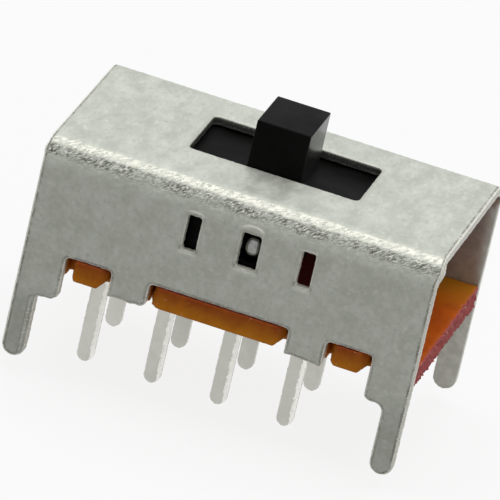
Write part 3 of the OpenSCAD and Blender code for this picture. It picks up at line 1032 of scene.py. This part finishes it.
def punchRelief(outline, edge, tenons):
    # a cut into the board beside each end of each tenon; the left one, seen from its side, takes some of it
    look = boardShape
    beyond, deep = look["relief"]
    points = []
    for x, y in outline:
        side = -1 if y < 0 else 1
        run, out = -side * x, abs(y)
        cut = [(run, out)]
        for (left, right), into in zip(tenons, look["reliefInto"]):
            if abs(run - left) < onFace and out > edge + onFace:
                cut = [(left + into, out)]
            elif abs(run - left) < onFace and out > edge - onFace:
                cut = [(left - beyond, out), (left - beyond, out - deep), (left + into, out - deep)]
            elif abs(run - right) < onFace and abs(out - edge) < onFace:
                gapEnd = right + look["endGap"]
                cut = [(right, out - deep), (gapEnd, out - deep), (gapEnd, out)]
        points += [(-side * a, side * b) for a, b in cut]
    return np.array(points)


def makeBoardMesh():
    low, high = boxInMm("base_board")
    look, thickness = boardShape, high.z - low.z
    shape = cadCopy("base_board")
    outlines = outlinesOf(shape, lambda f: all(abs(v.co.z / mm - high.z) < onFace for v in f.verts),
                          lambda p: (p.x, p.y))
    shape.free()
    edge, tenons = tenonsIn(outlines[0], high)
    outlines[0] = punchRelief(outlines[0], edge, tenons)
    outlines = [evenlySpaced(o, look["edgeStep"], 1) for o in outlines]
    rows = [(inset, share * thickness, torn) for inset, share, torn in look["edgeRows"]]

    def tear(u, v, depth):
        atEnd = smoothStep(high.x - nearFace, high.x - onFace, abs(u))
        run = u if v < 0 else -u
        atRelief = any(abs(run - left - into) < look["edgeStep"]
                       for (left, _), into in zip(tenons, look["reliefInto"]))
        spot = Vector((u, v, depth * look["tearDepth"])) / look["tearLength"]
        if abs(u) < high.x and abs(v) < high.y / 2:
            return 0
        return noise.turbulence(spot, 3, False) * (look["sideTear"] + max(atEnd, atRelief / 2)
                                                   * (look["endTear"] - look["sideTear"]))

    def cutCorner(u, v, depth):
        run, side = (u, 1) if v < 0 else (-u, -1)
        cut = max(0.0, depth - thickness + look["cornerCut"])
        for left, right in tenons:
            if abs(v) > edge - look["relief"][1] and right - cut < run < right + look["endGap"] / 2:
                run = right - cut + (run - right + cut) * look["flatten"]
        return side * run, v

    def isFine(u, v):
        return abs(u) > high.x - look["endReach"]

    fill = (look["fineStep"], look["coarseStep"], isFine)
    mesh, flat = sheetSolid("baseBoard", outlines, rows, lambda u, v, d: Vector((u, v, high.z - d)),
                            (fill, fill), tear, cutCorner)
    sawn = [high.x - inset for inset in look["sawnFrom"]]
    markBy(mesh, flat, {
        "sawnEnd": lambda u, v, d: smoothStep(*sawn, abs(u)) * smoothStep(0, look["sawnDepth"], d),
        "side": lambda u, v, d: smoothStep(0, look["edgeRows"][1][1], d / thickness),
        "low": lambda u, v, d: d / thickness})
    return mesh


boardLook = {
    "resin": (0.68, 0.125, 0.002, 1),
    "resinDark": (0.55, 0.09, 0.002, 1),
    "resinCloud": (1.6, 3, 0.6, 0.32, 0.68),
    "amber": (0.54, 0.185, 0.005, 1),        # towards the back
    "amberFrom": (1.0, 5.6),                 # mm
    "paintedShade": (0.26, 0.035, 0.02, 1),        # painted shade deep inside the cover, away from its open ends
    "paintedShadeFrom": (7.9, 6.6),                # mm from the middle
    # the cut sides: painted shade, darker and redder, at the top under the cover's wall, and painted light,
    # more golden, lower down where light shines through
    "sideShadedTop": (0.34, 0.068, 0.008, 1),
    "sideLitLow": (0.68, 0.245, 0.012, 1),
    "sideWaver": (0.9, 0.8, 3, 0.6),
    "fleck": (0.85, 0.66, 0.42, 1),
    "fleckSpots": (0.16, 2, 0.7, 0.69, 0.74, 0, 0.6),
    "sawn": (0.50, 0.12, 0.12, 1),
    "sawnPale": (0.75, 0.50, 0.32, 1),
    "sawnSpots": (0.3, 2, 0.7, 0.6, 0.72),
    "sawnRough": 0.3,
    "fibre": (0.12, 3, 0.6),
    "fibreStretch": (0.25, 1, 2),
    "fibreDepth": 0.006,
    "roughness": (0.42, 0.57),
    "specular": 0.12,
    "glowThrough": 0.3,
    "glowRadius": (1.0, 0.35, 0.08),
    "glowScale": 0.6,                        # mm
}


def resinColour(place):
    # the top: clouded, amber towards the back, with painted shade deep inside the cover, away from its open
    # ends
    look, spot = boardLook, addNode("ShaderNodeSeparateXYZ", {0: place}).outputs
    return layered(blend(spotsAt(place, *look["resinCloud"]), look["resinDark"], look["resin"]),
                   (spread(spot["Y"], *look["amberFrom"]), look["amber"]),
                   (spread(calc("ABSOLUTE", spot["X"]), *look["paintedShadeFrom"]), look["paintedShade"]))


def boardMaterial():
    material, look = newMaterial("phenolicBoard"), boardLook
    place = placeInMm()
    fibre = noiseAt(placeInMm(stretch=look["fibreStretch"]), *look["fibre"])
    # down the cut sides, from painted shade at the top to painted light shining through lower down
    low = calc("ADD", marked("low"), waverAt(place, *look["sideWaver"]), clamp=True)
    side = layered(blend(low, look["sideShadedTop"], look["sideLitLow"]),
                   (spotsAt(place, *look["fleckSpots"]), look["fleck"]))
    sawn = blend(spotsAt(place, *look["sawnSpots"]), look["sawn"], look["sawnPale"])
    atEnd = marked("sawnEnd")
    return finished(material, {
        "Base Color": layered(resinColour(place), (marked("side"), side), (atEnd, sawn)),
        "Roughness": plus(spread(fibre, *usualNoise, *look["roughness"]), times(atEnd, look["sawnRough"])),
        "Specular IOR Level": look["specular"],
        "Subsurface Weight": look["glowThrough"],
        "Subsurface Radius": look["glowRadius"],
        "Subsurface Scale": look["glowScale"] * mm,
        "Normal": bump(fibre, look["fibreDepth"])})


def makeBoard():
    newPiece("baseBoard", makeBoardMesh(), boardMaterial(), "frame", "phenolic", "base_board")


# What Geometry Nodes need: a tree with named inputs, and its result as a plain mesh

def newTree(name, sockets):
    tree = bench["tree"] = bpy.data.node_groups.new(name, "GeometryNodeTree")
    for label, kind in sockets.items():
        tree.interface.new_socket(label, in_out="INPUT", socket_type="NodeSocket" + kind)
    tree.interface.new_socket("Geometry", in_out="OUTPUT", socket_type="NodeSocketGeometry")
    return tree, tree.nodes.new("NodeGroupInput").outputs


def closeTree(geometry, material):
    real = nodeOut("GeometryNodeRealizeInstances", {0: geometry})
    done = nodeOut("GeometryNodeSetMaterial", {"Geometry": real, "Material": material})
    addNode("NodeGroupOutput", {0: done})


def meshFrom(tree, mesh, name, values):
    holder = bpy.data.objects.new(name, mesh)
    bpy.context.scene.collection.objects.link(holder)
    modifier = holder.modifiers.new(name, "NODES")
    modifier.node_group = tree
    for socket in tree.interface.items_tree:
        if socket.in_out == "INPUT" and socket.name in values:
            modifier[socket.identifier] = values[socket.name]
    made = bpy.data.meshes.new_from_object(holder.evaluated_get(bpy.context.evaluated_depsgraph_get()))
    holder.modifiers.remove(modifier)
    bpy.data.objects.remove(holder)
    return made


# Terminals: stamped from tin plated sheet, the head folded flat over the board

terminalShape = {
    "thickness": 0.45,
    "pinWidth": 0.84,
    "tornBevel": 0.2,        # the punch tears one long edge of each pin off at a slant
    "tornBevelEnd": 0.35,    # mm below the board
    "flatten": 0.05,
    "headCorner": 0.2,
    "tipSteps": 14,
    "edgeStep": 0.09,
    "fineStep": 0.12,
    "innerBend": 0.02,
    "edgeRows": [            # inset, depth, share of tear
        (0.085, 0.0, 0.2), (0.035, 0.012, 0.6), (0.008, 0.045, 1.0), (0.0, 0.1, 0.4), (0.0, 0.2, 0.3),
        (0.008, 0.25, 1.0), (0.014, 0.32, 1.0), (0.008, 0.39, 1.0), (0.02, 0.435, 0.8), (0.06, 0.45, 0.3)],
    "tear": 0.035,
    "tearLength": 0.13,
    "lean": 0.25,            # degrees, at random; more would lift a head into the sliding contacts
    "seed": 7,
}


def terminalOutline(bendEnd, end, headHalf):
    look = terminalShape
    half = look["pinWidth"] / 2
    corner, steps = look["headCorner"], look["tipSteps"]

    def arc(centreU, centreV, radius, start, stop):
        angles = [math.radians(start + (stop - start) * k / steps) for k in range(steps + 1)]
        return [(centreU + radius * math.cos(a), centreV + radius * math.sin(a)) for a in angles]
    inner = headHalf - corner
    outline = arc(0, half, half, 180, 360) + [(half, bendEnd)]
    outline += arc(inner, bendEnd + corner, corner, -90, 0) + arc(inner, end - corner, corner, 0, 90)
    outline += arc(-inner, end - corner, corner, 90, 180) + arc(-inner, bendEnd + corner, corner, 180, 270)
    return evenlySpaced(np.array(outline + [(-half, bendEnd)]), look["edgeStep"], 1)


def makeTerminalMesh():
    look = terminalShape
    low, high = boxInMm("terminal_back_1")
    radius = look["thickness"]
    straight, boardFoot = high.z - radius, boxInMm("base_board")[0].z
    bendEnd = straight + radius * math.pi / 2

    def place(u, v, depth):
        if v < straight:
            return Vector((u, low.y + depth, v))
        if v < bendEnd:
            angle, reach = (v - straight) / radius, max(radius - depth, look["innerBend"])
            return Vector((u, low.y + radius - reach * math.cos(angle), straight + reach * math.sin(angle)))
        return Vector((u, low.y + radius + v - bendEnd, high.z - depth))

    def tornEdge(u, v, depth):
        ragged = 1 + noise.noise(Vector((v, 0, depth)) / look["tearLength"]) / 2
        cut = max(0.0, depth - look["thickness"] + look["tornBevel"]) * ragged
        cut *= smoothStep(boardFoot, boardFoot - look["tornBevelEnd"], v)
        start = cut - look["pinWidth"] / 2
        return (start + (u - start) * look["flatten"] if u < start else u), v

    outline = terminalOutline(bendEnd, bendEnd + high.y - low.y - radius, (high.x - low.x) / 2)
    fill = (look["fineStep"], 3 * look["fineStep"], lambda u, v: straight < v < bendEnd)
    mesh, flat = sheetSolid("terminalBlank", [outline], look["edgeRows"], place, (fill, fill), tearBy(look),
                            tornEdge)
    markBy(mesh, flat, {"tornSide": lambda u, v, d: smoothStep(0, -look["pinWidth"] / 2, u)})
    return mesh


def terminalTree():
    tree, given = newTree("terminalRows", {"Terminal": "Geometry", "Count": "Int", "Pitch": "Float",
                                           "First": "Float", "Pivot Height": "Float", "Lean": "Float",
                                           "Seed": "Int", "Material": "Material"})
    first, step = (nodeOut("ShaderNodeCombineXYZ", {"X": given[name]}) for name in ("First", "Pitch"))
    places = nodeOut("GeometryNodeMeshLine", {"Count": given["Count"], "Start Location": first,
                                              "Offset": step})
    rows = addNode("GeometryNodeJoinGeometry")
    for turn in (0, math.pi):       # the front row is the back row turned round
        tree.links.new(nodeOut("GeometryNodeInstanceOnPoints", {
            "Points": places, "Instance": given["Terminal"], "Rotation": (0, 0, turn)}), rows.inputs[0])
    low, high = (nodeOut("ShaderNodeCombineXYZ", {"X": angle, "Y": angle})
                 for angle in (times(given["Lean"], -1), given["Lean"]))
    lean = nodeOut("FunctionNodeRandomValue", {0: low, 1: high, "Seed": given["Seed"]},
                   data_type="FLOAT_VECTOR")
    pivot = nodeOut("ShaderNodeCombineXYZ", {"Z": given["Pivot Height"]})
    leant = nodeOut("GeometryNodeRotateInstances", {"Instances": rows.outputs[0], "Rotation": lean,
                                                    "Pivot Point": pivot})
    tone = addNode("FunctionNodeRandomValue", {"Seed": given["Seed"]}, data_type="FLOAT").outputs[1]
    toned = nodeOut("GeometryNodeStoreNamedAttribute", {"Geometry": leant, "Name": "tone", "Value": tone},
                    domain="INSTANCE")
    closeTree(toned, given["Material"])
    return tree


terminalLook = {
    "light": (0.74, 0.745, 0.69, 1),
    "dark": (0.62, 0.625, 0.57, 1),
    "cloud": (0.7, 3, 0.6),
    "toneShares": (0.3, 0.7),                # of a terminal's own tone and of the cloud
    "flake": (0.12, 3, 0.75),
    "edge": (0.96, 0.96, 0.91, 1),
    "edgeFlake": (0.36, 0.5, 0.4, 1),
    "nick": (0.26, 0.27, 0.23, 1),
    "nickFrom": (0.05, 0.3),
    "nickFlake": (0.55, 0.64),
    "rimBand": (0.02, 0.3, 0.7, 1.0),
    "rimFlake": (0.62, 0.42, 0.25, 0.8),
    "metallic": 0.72,
    "tornMetallic": 0.97,
    "roughness": (0.3, 0.42),
    "grain": (0.08, 2, 0.6),
    "grainDepth": 0.002,
}


def terminalMaterial():
    material, look = newMaterial("tinnedBrass"), terminalLook
    place = placeInMm()
    cloud, flake = (noiseAt(place, *look[name]) for name in ("cloud", "flake"))
    cut, torn = marked("cutEdge"), marked("tornSide")
    toned = plus(*map(times, (marked("tone"), cloud), look["toneShares"]))
    rim = times(bandOf(cut, *look["rimBand"]), times(torn, spread(flake, *look["rimFlake"])))
    nick = times(spread(cut, *look["nickFrom"]), times(minus(1, torn), spread(flake, *look["nickFlake"])))
    return finished(material, {
        "Base Color": layered(blend(spread(toned, *usualNoise), look["dark"], look["light"]),
                              (times(cut, spread(flake, *look["edgeFlake"])), look["edge"]),
                              (larger(nick, rim), look["nick"])),
        "Roughness": spread(cloud, *usualNoise, *look["roughness"]),
        "Metallic": between(times(cut, torn), look["metallic"], look["tornMetallic"]),
        "Normal": bump(noiseAt(place, *look["grain"]), look["grainDepth"])})


def makeTerminals():
    names = [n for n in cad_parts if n.startswith("terminal_")]
    (low, high), (nextLow, _) = boxInMm("terminal_back_1"), boxInMm("terminal_back_2")
    material = terminalMaterial()
    mesh = meshFrom(terminalTree(), makeTerminalMesh(), "terminals", {
        "Count": len(names) // 2, "Pitch": (nextLow.x - low.x) * mm, "First": (low.x + high.x) / 2 * mm,
        "Pivot Height": boxInMm("base_board")[1].z * mm, "Lean": math.radians(terminalShape["lean"]),
        "Seed": terminalShape["seed"], "Material": material})
    newPiece("terminals", mesh, material, "frame", "tinned_brass", *names)


# Springs: wire coils with closed end turns

springShape = {
    "wire": 0.18,            # mm, across
    "contactTurns": 5,
    "detentTurns": 14,
    "closePitch": 1.05,      # of a closed turn, in wire thicknesses
    "pressRoom": 0.27,       # mm left at each end of the detent spring for the balls to move in
    "stepsPerTurn": 28,
    "wireSides": 10,
}


def springTree():
    tree, given = newTree("coilSpring", {"Blank": "Geometry", "Turns": "Float", "Length": "Float",
                                         "Coil Radius": "Float", "Wire Radius": "Float", "Close": "Float",
                                         "Steps": "Int", "Sides": "Int", "Place": "Vector",
                                         "Turn": "Vector", "Material": "Material"})
    line = nodeOut("GeometryNodeCurvePrimitiveLine")
    count = times(given["Turns"], given["Steps"])
    even = nodeOut("GeometryNodeResampleCurve", {"Curve": line, "Count": count})
    turned = times(addNode("GeometryNodeSplineParameter").outputs["Factor"], given["Turns"])
    angle = times(turned, 2 * math.pi)
    inner = minus(given["Turns"], 1)        # the first and the last turn are closed
    closed = plus(smaller(turned, 1), larger(minus(turned, inner), 0))
    opened = larger(minus(smaller(turned, inner), 1), 0)
    left = minus(given["Length"], times(given["Wire Radius"], 2), times(given["Close"], 2))
    pitch = calc("DIVIDE", left, minus(given["Turns"], 2))
    height = plus(times(closed, given["Close"]), plus(times(opened, pitch), given["Wire Radius"]))
    across, along = (times(calc(way, angle), given["Coil Radius"]) for way in ("COSINE", "SINE"))
    spot = nodeOut("ShaderNodeCombineXYZ", {"X": across, "Y": along, "Z": height})
    helix = nodeOut("GeometryNodeSetPosition", {"Geometry": even, "Position": spot})
    section = nodeOut("GeometryNodeCurvePrimitiveCircle", {"Resolution": given["Sides"],
                                                           "Radius": given["Wire Radius"]})
    solid = nodeOut("GeometryNodeCurveToMesh", {"Curve": helix, "Profile Curve": section, "Fill Caps": True})
    placed = nodeOut("GeometryNodeTransform", {"Geometry": solid, "Translation": given["Place"],
                                               "Rotation": given["Turn"]})
    closeTree(placed, given["Material"])
    return tree


def makeSpring(tree, material, nodeName, pieceName, turns, alongY):
    low, high = boxInMm(nodeName)
    if alongY:
        room = Vector((0, springShape["pressRoom"], 0))
        low, high = low + room, high - room
    radius = springShape["wire"] / 2
    middle = (low + high) / 2
    start = Vector((middle.x, low.y, middle.z)) if alongY else Vector((middle.x, middle.y, low.z))
    mesh = meshFrom(tree, bpy.data.meshes.new(pieceName), pieceName, {
        "Turns": float(turns), "Length": ((high.y - low.y) if alongY else (high.z - low.z)) * mm,
        "Coil Radius": ((high.x - low.x) / 2 - radius) * mm, "Wire Radius": radius * mm,
        "Close": springShape["closePitch"] * springShape["wire"] * mm, "Steps": springShape["stepsPerTurn"],
        "Sides": springShape["wireSides"], "Place": start * mm,
        "Turn": (-math.pi / 2 if alongY else 0, 0, 0), "Material": material})
    mesh.shade_smooth()
    newPiece(pieceName, mesh, material, "slider", "spring_steel", nodeName)


wireLook = {
    "light": (0.62, 0.63, 0.65, 1),
    "dark": (0.42, 0.43, 0.45, 1),
    "haze": (0.25, 4, 0.7),
    "stretch": (1, 1, 1),
    "limits": (0.35, 0.65),
    "roughness": (0.28, 0.448),
    "depth": 0.001,
}


def metalMaterial(name, look):
    material = newMaterial(name)
    haze = noiseAt(placeInMm(stretch=look["stretch"]), *look["haze"])
    return finished(material, {
        "Base Color": blend(spread(haze, *look["limits"]), look["dark"], look["light"]),
        "Roughness": spread(haze, *usualNoise, *look["roughness"]),
        "Metallic": 1.0,
        "Normal": bump(haze, look["depth"])})


def makeSprings():
    tree, material = springTree(), metalMaterial("springWire", wireLook)
    makeSpring(tree, material, "detent_spring", "detentSpring", springShape["detentTurns"], True)
    for side in ("front", "back"):
        makeSpring(tree, material, "contact_spring_" + side, "contactSpring." + side,
                   springShape["contactTurns"], False)


# Detent balls: polished steel, with the spot worn flat where each rubs along its wall

ballShape = {"fineness": 5, "wornDepth": 0.012}

ballLook = {
    "light": (0.30, 0.30, 0.285, 1),
    "dark": (0.22, 0.22, 0.21, 1),
    "haze": (0.25, 4, 0.7),
    "stretch": (1, 1, 1),
    "limits": (0.35, 0.65),
    "roughness": (0.13, 0.208),
    "depth": 0.001,
}


def makeBalls():
    material = metalMaterial("polishedSteel", ballLook)
    for side, outward in (("front", -1), ("back", 1)):
        low, high = boxInMm("detent_ball_" + side)
        middle, radius = (low + high) / 2, (high.x - low.x) / 2
        shape = bmesh.new()
        bmesh.ops.create_icosphere(shape, subdivisions=ballShape["fineness"], radius=radius * mm)
        flatAt = (radius - ballShape["wornDepth"]) * mm
        for vert in shape.verts:
            if vert.co.y * outward > flatAt:
                vert.co.y = flatAt * outward
            vert.co += middle * mm
        mesh = bpy.data.meshes.new("ball")
        shape.to_mesh(mesh)
        shape.free()
        mesh.shade_smooth()
        newPiece("detentBall." + side, mesh, material, side + "_ball", "ball_steel", "detent_ball_" + side)


# Pieces that keep their CAD shape and get worked edges

bevelAngles = {"flat": 0.5, "edge": 35}         # degrees: less counts as flat, more is an edge


def bevelledCopy(nodeName, pieceName, material, slot, sizes):
    shape, (flat, sharp) = cadCopy(nodeName), (math.radians(bevelAngles[k]) for k in ("flat", "edge"))
    bmesh.ops.dissolve_limit(shape, angle_limit=flat, verts=shape.verts, edges=shape.edges)
    mesh = bpy.data.meshes.new(pieceName)
    shape.to_mesh(mesh)
    shape.free()
    mesh.shade_smooth()
    edges = newPiece(pieceName, mesh, material, "slider", slot, nodeName).modifiers.new("edges", "BEVEL")
    edges.width, edges.segments = sizes["edgeRadius"] * mm, sizes["edgeSegments"]
    edges.limit_method, edges.angle_limit, edges.harden_normals = "ANGLE", sharp, True


# Slider: moulded black plastic

sliderShape = {"edgeRadius": 0.05, "edgeSegments": 2}

plasticLook = {
    "light": (0.005, 0.005, 0.0048, 1),
    "dark": (0.0027, 0.0027, 0.0024, 1),
    "cloud": (1.2, 3, 0.6),
    "roughness": (0.42, 0.55),
    "specular": 0.035,
    "polish": 0.72,          # coat on the two ends, which the mould leaves polished
    "polishFrom": (0.85, 0.97),
    "polishRoughness": 0.2,
    "grain": (0.05, 3, 0.6),
    "grainDepth": 0.0012,
}


def plasticMaterial():
    material, look = newMaterial("blackPlastic"), plasticLook
    place = placeInMm()
    cloud = noiseAt(place, *look["cloud"])
    facing = addNode("ShaderNodeTexCoord").outputs["Normal"]
    endOn = calc("ABSOLUTE", addNode("ShaderNodeSeparateXYZ", {0: facing}).outputs["X"])
    return finished(material, {
        "Base Color": blend(spread(cloud, *usualNoise), look["dark"], look["light"]),
        "Roughness": spread(cloud, *usualNoise, *look["roughness"]),
        "Specular IOR Level": look["specular"],
        "Coat Weight": times(spread(endOn, *look["polishFrom"]), look["polish"]),
        "Coat Roughness": look["polishRoughness"],
        "Normal": bump(noiseAt(place, *look["grain"]), look["grainDepth"])})


def makeSlider():
    bevelledCopy("slider", "sliderBlock", plasticMaterial(), "black_plastic", sliderShape)


# Sliding contacts: spring bronze strip

contactShape = {"edgeRadius": 0.025, "edgeSegments": 2}

contactLook = {
    "light": (0.66, 0.44, 0.22, 1),
    "dark": (0.46, 0.28, 0.12, 1),
    "haze": (0.3, 4, 0.6),
    "stretch": (0.3, 3, 1),  # drawn out along the way the strip was rolled
    "limits": (0.3, 0.7),
    "roughness": (0.24, 0.4),
    "depth": 0.002,
}


def makeContacts():
    material = metalMaterial("contactBronze", contactLook)
    for side in ("front", "back"):
        bevelledCopy("contact_bridge_" + side, "contactBridge." + side, material, "contact_bronze",
                     contactShape)


makeCover()
makeBoard()
makeTerminals()
makeSprings()
makeBalls()
makeSlider()
makeContacts()
print("all pieces made")
